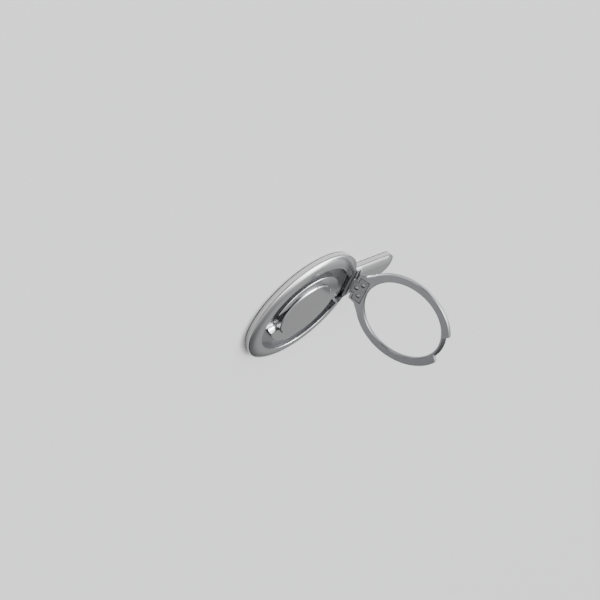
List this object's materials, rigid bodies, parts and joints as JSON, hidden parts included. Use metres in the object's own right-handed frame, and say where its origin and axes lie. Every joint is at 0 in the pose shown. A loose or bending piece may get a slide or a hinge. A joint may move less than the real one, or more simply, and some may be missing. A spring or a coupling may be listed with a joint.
{
  "type": "magnetic ring grip",
  "caption": "Magnetic phone mount: a round metal disc with an alignment tongue, and a flat ring that folds out on a friction hinge as finger loop and stand.",
  "frame": {"origin": "centre of the disc's clinging face", "axes": "+Z out of the disc's back, away from the handset; +X along the alignment tongue, towards the hinge; +Y across"},
  "size_m": [0.0807, 0.0562, 0.0476],
  "materials": {
    "pad_rubber": "soft matt",
    "tray_metal": "satin, slightly warm grey",
    "magnet_plating": "nickel plated",
    "yoke_steel": "plain",
    "shell_metal": "satin metallic",
    "cap_metal": "satin face, polished bevel",
    "screw_steel": "plain",
    "tape": "matt film",
    "hinge_steel": "dark satin",
    "pin_steel": "ground",
    "clip_steel": "dark spring steel",
    "washer_steel": "dark spring steel",
    "leaf_steel": "satin",
    "leaf_screw_steel": "bright",
    "ring_steel": "satin face, polished bevels"
  },
  "bodies": {
    "base": {"back_pad": "pad_rubber", "base_tray": "tray_metal", "array_magnets": "magnet_plating", "array_yoke": "yoke_steel", "tail_magnet": "magnet_plating", "tail_yoke": "yoke_steel", "rim_shell": "shell_metal", "tail_cover": "shell_metal", "centre_plate": "shell_metal", "plate_screws": "screw_steel", "cap_tape": "tape", "centre_cap": "cap_metal", "base_screws": "screw_steel", "hinge_bracket": "hinge_steel", "bracket_screws": "screw_steel", "hinge_pin": "pin_steel", "pin_clips": "clip_steel", "friction_washers": "washer_steel"},
    "ring": {"hinge_leaf": "leaf_steel", "leaf_screws": "leaf_screw_steel", "grip_ring": "ring_steel"}
  },
  "joints": [
    {"name": "ring_fold", "type": "hinge", "parent": "base", "child": "ring", "pos_m": [0.02683, 0, 0.00212], "axis": [0, 1, 0], "range_deg": [-104.4, 15.6]}
  ]
}
